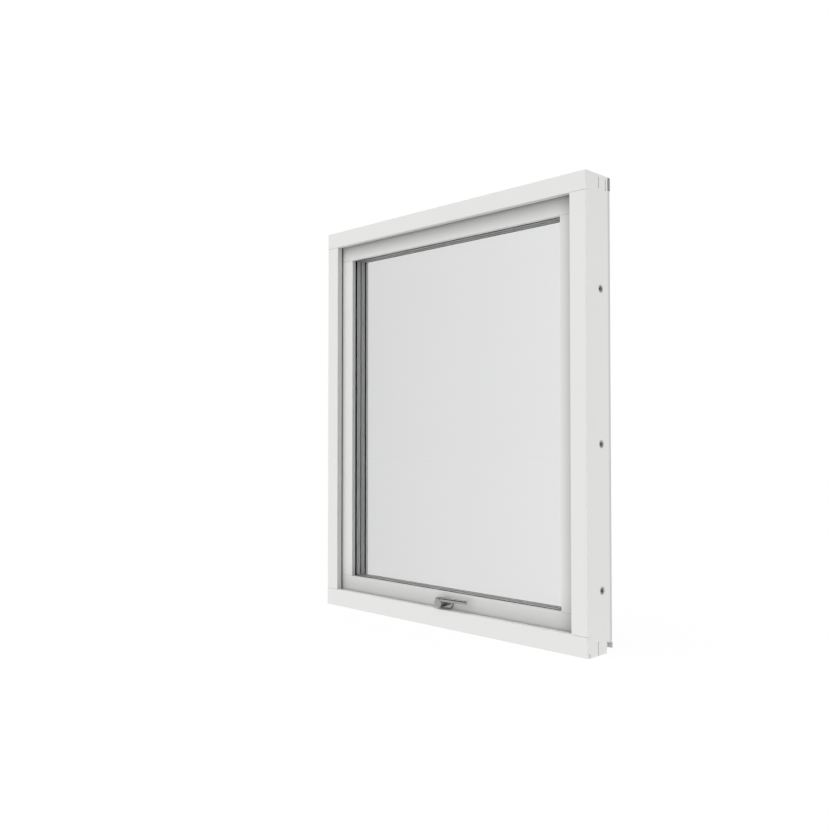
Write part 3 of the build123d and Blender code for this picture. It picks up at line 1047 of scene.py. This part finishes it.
@dataclass
class Lever(Assembly):
    """Handle lever: a bar of rounded section that leaves the top of a turned hub."""

    hub_front: float = -55.0 * MILLIMETRE
    hub_rear: float = -31.3 * MILLIMETRE
    hub_radius: float = 13.0 * MILLIMETRE
    hub_rim: float = 2.2 * MILLIMETRE
    hub_dome: float = 0.25 * MILLIMETRE
    rear_bevel: float = 0.9 * MILLIMETRE
    groove_front: float = -38.4 * MILLIMETRE
    groove_rear: float = -36.6 * MILLIMETRE
    groove_radius: float = 11.0 * MILLIMETRE
    spindle_radius: float = 4.0 * MILLIMETRE
    spindle_end: float = -7.0 * MILLIMETRE
    bar_front: float = -54.0 * MILLIMETRE
    bar_rear: float = -43.0 * MILLIMETRE
    bar_length: float = 102.0 * MILLIMETRE
    root_top: float = 81.9 * MILLIMETRE
    root_height: float = 9.0 * MILLIMETRE
    tip_top: float = 84.4 * MILLIMETRE
    tip_height: float = 7.4 * MILLIMETRE
    top_slope: float = 2.8 * MILLIMETRE
    end_round: float = 3.0 * MILLIMETRE
    squareness: float = 3.6
    steps: int = 64
    bar_stations: int = 24
    cap_stations: int = 10
    rim_stations: int = 9
    face_stations: int = 6
    crease_degrees: float = 30.0

    def _bar(self) -> Grid:
        """Bar along X, closed at both ends.

        Ring s lies at x(s), with points (c, t) of a superellipse of unit half sizes. Its depth
        is the middle plus c half depths, and its height is the bottom plus (1 + t) / 2 of a
        height that grows from front to rear by the slope of the top. Over the rounding of each
        end the ring shrinks about its middle with the cosine of an angle whose sine carries x
        outwards, and the last ring closes the end.

        Returns:
            Points, rings by steps by 3.
        """
        turn = np.linspace(0.0, QUARTER_TURN, self.cap_stations)
        straight = np.linspace(self.end_round, self.bar_length - self.end_round, self.bar_stations)
        cap = self.end_round * np.sin(turn[1:])
        x = np.concatenate([straight[0] - cap[::-1], straight, straight[-1] + cap])
        taper = self._tapered(np.cos(turn[1:]))
        shrink = np.concatenate([taper[::-1], np.ones(self.bar_stations), taper])[:, None]
        share = (x / self.bar_length)[:, None]
        height = self.root_height + share * (self.tip_height - self.root_height)
        top = self.root_top + share * (self.tip_top - self.root_top)
        section = superellipse(1.0, 1.0, self.squareness, self.steps)
        across, up = shrink * section[None, :, 0], shrink * section[None, :, 1]
        half_depth = (self.bar_rear - self.bar_front) / 2
        y = (self.bar_front + self.bar_rear) / 2 + half_depth * across
        z = top - height + (1.0 + up) / 2 * (height + self.top_slope * (1.0 + across) / 2)
        return np.stack([np.broadcast_to(x[:, None], y.shape), y, z], axis=-1)

    def _tapered(self, cosine: Grid) -> Grid:
        """Size of a ring over the rounded end, which falls by the end's radius and then closes."""
        share = 1.0 - self.end_round / ((self.bar_rear - self.bar_front) / 2)
        return np.where(cosine < CLOSED_COSINE, 0.0, share + (1.0 - share) * cosine)

    def _hub(self) -> Grid:
        """Hub and spindle, turned about an axis along Y.

        Ring s has the radius r(s) at the depth y(s): a front face with a slight dome, a rim
        rounded through a quarter turn, the barrel with a groove round it and a bevel at its
        rear, and the spindle.

        Returns:
            Points, rings by steps by 3.
        """
        turn = np.linspace(0.0, QUARTER_TURN, self.rim_stations)
        rim_radius = self.hub_radius - self.hub_rim * (1.0 - np.sin(turn))
        rim_depth = self.hub_front + self.hub_dome + (self.hub_rim - self.hub_dome) * (1.0 - np.cos(turn))
        barrel = np.array(
            [
                (self.groove_front, self.hub_radius),
                (self.groove_front, self.groove_radius),
                (self.groove_rear, self.groove_radius),
                (self.groove_rear, self.hub_radius),
                (self.hub_rear - self.rear_bevel, self.hub_radius),
                (self.hub_rear, self.hub_radius - self.rear_bevel),
                (self.hub_rear, self.spindle_radius),
                (self.spindle_end, self.spindle_radius),
                (self.spindle_end, 0.0),
            ]
        )
        share = np.linspace(0.0, 1.0, self.face_stations)
        face = np.column_stack([self.hub_front + self.hub_dome * share**2, rim_radius[0] * share])
        profile = np.concatenate([face, np.column_stack([rim_depth, rim_radius])[1:], barrel])
        angle = np.linspace(0.0, FULL_TURN, self.steps, endpoint=False)
        radius = profile[:, 1:2]
        x, z = radius * np.cos(angle), SPINDLE_HEIGHT + radius * np.sin(angle)
        return np.stack([x, np.broadcast_to(profile[:, :1], x.shape), z], axis=-1)

    def dress(self, nodes: Nodes) -> None:
        """Build the lever on the body that turns.

        Args:
            nodes: solids by name.
        """
        lever = mesh_from_grids("lever_and_hub", [self._bar(), self._hub()], False, True)
        smooth(lever, self.crease_degrees)
        put(lever, HANDLE_BODY, SatinChrome(), "handle_lever")


@dataclass
class Hardware(Assembly):
    """Pivot arms, and the rose under the lever."""

    arms: Sequence[str] = ("pivot_arm_left", "pivot_arm_right")
    rose: str = "handle_rose"

    def dress(self, nodes: Nodes) -> None:
        """Plate the metal pieces."""
        coat(nodes, GalvanisedSteel(), *self.arms)
        coat(nodes, SatinChrome(), self.rose)


# Studio


@dataclass(frozen=True)
class Lamp:
    """Square soft box: its place, the length of its side in metres and its power in watts."""

    name: str
    place: Place
    side: float
    power: float

    def hang(self, target: Place) -> None:
        """Hang the lamp.

        Args:
            target: point that it faces.
        """
        data = bpy.data.lights.new(self.name, "AREA")
        data.size = self.side
        data.energy = self.power
        lamp = bpy.data.objects.new(self.name, data)
        lamp.location = self.place
        aim = Vector(target) - Vector(self.place)
        lamp.rotation_euler = aim.to_track_quat("-Z", "Y").to_euler()
        bpy.context.scene.collection.objects.link(lamp)


@dataclass
class Studio:
    """Pale floor, soft light and the camera, at the height and angle of the photograph."""

    camera_place: Place = (1.68595, -1.82228, 0.5326)
    yaw_degrees: float = 45.174
    level_degrees: float = 90.0
    pitch_degrees: float = 1.459
    focal_pixels: float = 873.0
    image_pixels: float = 828.0
    sensor_mm: float = 36.0
    view_depth: float = 100.0
    floor_half: float = 14.0
    floor_colour: Colour = (0.95, 0.95, 0.95)
    floor_glow: float = 0.94
    light_top: float = 1.75
    light_low: float = 1.55
    light_ahead: float = 1.6
    light_upper_left: float = 2.4
    light_rear: float = 0.765
    light_rear_right: float = 1.1
    light_through: float = 1.45
    gloss_dark: float = 0.93
    gloss_from: float = 0.22
    gloss_to: float = 0.42
    lamps: Sequence[Lamp] = (Lamp("key", (-1.4, -3.0, 3.4), 2.0, 4.0),)
    target: Place = (0.0, 0.0, 0.6)

    def _add_camera(self) -> None:
        """Stand the camera where the photograph was taken from."""
        data = bpy.data.cameras.new("camera")
        data.sensor_width = self.sensor_mm
        data.lens = self.focal_pixels / self.image_pixels * self.sensor_mm
        data.clip_end = self.view_depth
        camera = bpy.data.objects.new("camera", data)
        camera.location = self.camera_place
        tilt = math.radians(self.level_degrees + self.pitch_degrees)
        camera.rotation_euler = (tilt, 0.0, math.radians(self.yaw_degrees))
        bpy.context.scene.collection.objects.link(camera)
        bpy.context.scene.camera = camera

    @staticmethod
    def _rays(graph: Graph) -> tuple[Wire, Wire]:
        """One for rays that show the background straight or through glass, and one for gloss."""
        camera = graph.node("ShaderNodeLightPath", out="Is Camera Ray")
        return camera.largest(camera.beside("Is Transmission Ray")), camera.beside("Is Glossy Ray")

    def _add_floor(self) -> None:
        """Lay a floor that is white to the eye, keeps a soft shadow and passes light from below."""
        step = np.linspace(-self.floor_half, self.floor_half, 2)
        x, y = np.meshgrid(step, step, indexing="ij")
        plane = np.stack([x, y, np.zeros_like(x)], axis=-1)
        floor = mesh_from_grids("floor", [plane], False, False)
        material = bpy.data.materials.new("floor")
        material.use_nodes = True
        graph = Graph(material.node_tree)
        seen, gloss = self._rays(graph)
        matt = graph.node("ShaderNodeBsdfDiffuse", inputs={"Color": opaque(self.floor_colour)})
        glow = graph.node("ShaderNodeEmission", inputs={"Color": opaque(WHITE), "Strength": 1.0})
        pale = graph.node("ShaderNodeMixShader", inputs={0: self.floor_glow, 1: matt, 2: glow})
        clear = graph.node("ShaderNodeBsdfTransparent")
        mixed = graph.node("ShaderNodeMixShader", inputs={0: seen.largest(gloss), 1: clear, 2: pale})
        graph.node("ShaderNodeOutputMaterial", inputs={"Surface": mixed}, out=None)
        floor.data.materials.append(material)

    def _soft_light(self, x: Wire, y: Wire, z: Wire) -> Wire:
        """Light that matt surfaces gather from a direction.

        With up, down, left and right for the parts of the direction on those sides, it is
        top * up^2 + low * down^2 + ahead * y^4 + upper_left * left * up in front of the window,
        and rear + rear_right * right^2 behind it.

        Args:
            x: part of the direction to the right.
            y: part of the direction outdoors.
            z: part of the direction upwards.

        Returns:
            The strength of the light.
        """
        up, down = z.largest(0.0), (-1.0 * z).largest(0.0)
        right, left = x.largest(0.0), (-1.0 * x).largest(0.0)
        front = y.below(0.0)
        before = (
            self.light_top * up * up
            + self.light_low * down * down
            + self.light_ahead * y * y * y * y
            + self.light_upper_left * left * up
        )
        behind = self.light_rear + self.light_rear_right * right * right
        return front * before + (1.0 - front) * behind

    def _mirrored(self, z: Wire) -> Wire:
        """What metal mirrors: white round the horizon, and a dark ceiling as in a room."""
        rise = (z - self.gloss_from) / (self.gloss_to - self.gloss_from)
        return 1.0 - self.gloss_dark * rise.largest(0.0).smallest(1.0)

    def _add_world(self) -> None:
        """Surround the window with white to the eye, and with soft light from all round.

        Matt surfaces gather light through the panes as if these weren't tinted.
        """
        world = bpy.data.worlds.new("surroundings")
        world.use_nodes = True
        bpy.context.scene.world = world
        graph = Graph(world.node_tree)
        seen, gloss = self._rays(graph)
        x, y, z = graph.axes(graph.node("ShaderNodeTexCoord", out="Generated"))
        unseen = gloss * self._mirrored(z) + (1.0 - gloss) * self._soft_light(x, y, z)
        gathered = graph.node("ShaderNodeLightPath", out="Diffuse Depth").above(0.0)
        plain = 1.0 + (self.light_through - 1.0) * gathered
        inputs = {"Color": opaque(WHITE), "Strength": seen * plain + (1.0 - seen) * unseen}
        light = graph.node("ShaderNodeBackground", inputs=inputs)
        graph.node("ShaderNodeOutputWorld", inputs={"Surface": light}, out=None)

    def build(self) -> None:
        """Set the stage."""
        bpy.context.scene.view_settings.view_transform = "Standard"
        self._add_camera()
        self._add_floor()
        self._add_world()
        for lamp in self.lamps:
            lamp.hang(self.target)


def main() -> None:
    """Load the solids, dress them and set the stage."""
    logging.basicConfig(level=logging.INFO, format="%(name)s: %(message)s")
    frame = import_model()
    for assembly in (Joinery(), Cladding(), Glazing(), Seals(), Sleeves(), Hardware(), Lever()):
        assembly.dress(frame["nodes"])
    Studio().build()


if __name__ == "__main__":
    main()
